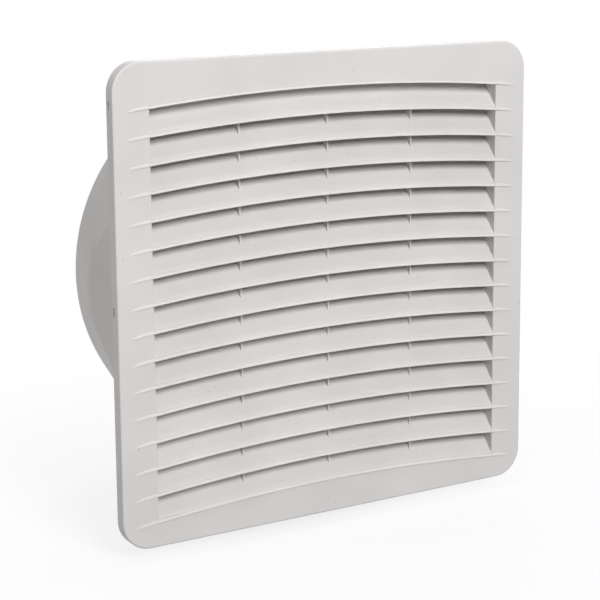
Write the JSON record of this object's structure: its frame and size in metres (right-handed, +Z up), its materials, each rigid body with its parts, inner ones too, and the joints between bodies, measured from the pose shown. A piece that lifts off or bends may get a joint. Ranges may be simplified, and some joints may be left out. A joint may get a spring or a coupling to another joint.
{
  "type": "cabinet filter fan",
  "caption": "Square louvred filter fan for a cabinet door: hinged front grille over a filter tray, with an axial fan in a tapered rear housing.",
  "frame": {"origin": "centre of the foam ring's rear face, on the outer face of the cabinet door", "axes": "+Y into the cabinet, the louvred front faces -Y, +Z up"},
  "size_m": [0.325, 0.1418, 0.325],
  "materials": {
    "housing_abs": "moulded light grey ABS",
    "foam": "closed-cell foam",
    "fleece": "bonded fleece",
    "zinc_steel": "zinc plated",
    "bright_steel": "ground steel",
    "painted_casting": "black paint",
    "lamination": "stacked sheet",
    "copper": "enamelled wire",
    "impeller_plastic": "moulded black",
    "terminal_plastic": "moulded cream",
    "brass": "plain",
    "dark_plastic": "moulded dark grey"
  },
  "bodies": {
    "housing": {"mounting_frame": "housing_abs", "frame_gasket": "foam", "filter_mat": "fleece", "filter_support": "housing_abs", "fan_funnel": "housing_abs", "funnel_screws": "zinc_steel", "fan_ring": "painted_casting", "motor_bracket": "painted_casting", "bracket_rivets": "zinc_steel", "stator_core": "lamination", "stator_windings": "copper", "bearing_outer_rings": "bright_steel", "preload_washer": "bright_steel", "finger_guard": "zinc_steel", "fan_screws": "zinc_steel", "terminal_block": "terminal_plastic", "terminal_screws": "brass", "terminal_cover": "dark_plastic"},
    "cover": {"grille_cover": "housing_abs"},
    "rotor": {"rotor_ring": "lamination", "rotor_cup": "painted_casting", "motor_shaft": "bright_steel", "bearing_inner_rings": "bright_steel", "bearing_balls": "bright_steel", "shaft_circlip": "bright_steel", "impeller": "impeller_plastic"},
    "clip_upper_left": {"clip_upper_left": "housing_abs"},
    "clip_lower_left": {"clip_lower_left": "housing_abs"},
    "clip_upper_right": {"clip_upper_right": "housing_abs"},
    "clip_lower_right": {"clip_lower_right": "housing_abs"}
  },
  "joints": [
    {"name": "cover_hinge", "type": "hinge", "parent": "housing", "child": "cover", "pos_m": [0, -0.0019, -0.1609], "axis": [1, 0, 0], "range_deg": [0, 90]},
    {"name": "impeller_spin", "type": "hinge", "parent": "housing", "child": "rotor", "pos_m": [0, 0.0875, 0], "axis": [0, 1, 0], "continuous": true},
    {"name": "clip_upper_left_press", "type": "hinge", "parent": "housing", "child": "clip_upper_left", "pos_m": [-0.1429, 0.021, 0.06], "axis": [0, 0, 1], "range_deg": [0, 6.5], "stiffness_Nm_per_rad": 6},
    {"name": "clip_lower_left_press", "type": "hinge", "parent": "housing", "child": "clip_lower_left", "pos_m": [-0.1429, 0.021, -0.06], "axis": [0, 0, 1], "range_deg": [0, 6.5], "stiffness_Nm_per_rad": 6},
    {"name": "clip_upper_right_press", "type": "hinge", "parent": "housing", "child": "clip_upper_right", "pos_m": [0.1429, 0.021, 0.06], "axis": [0, 0, -1], "range_deg": [0, 6.5], "stiffness_Nm_per_rad": 6},
    {"name": "clip_lower_right_press", "type": "hinge", "parent": "housing", "child": "clip_lower_right", "pos_m": [0.1429, 0.021, -0.06], "axis": [0, 0, -1], "range_deg": [0, 6.5], "stiffness_Nm_per_rad": 6}
  ]
}
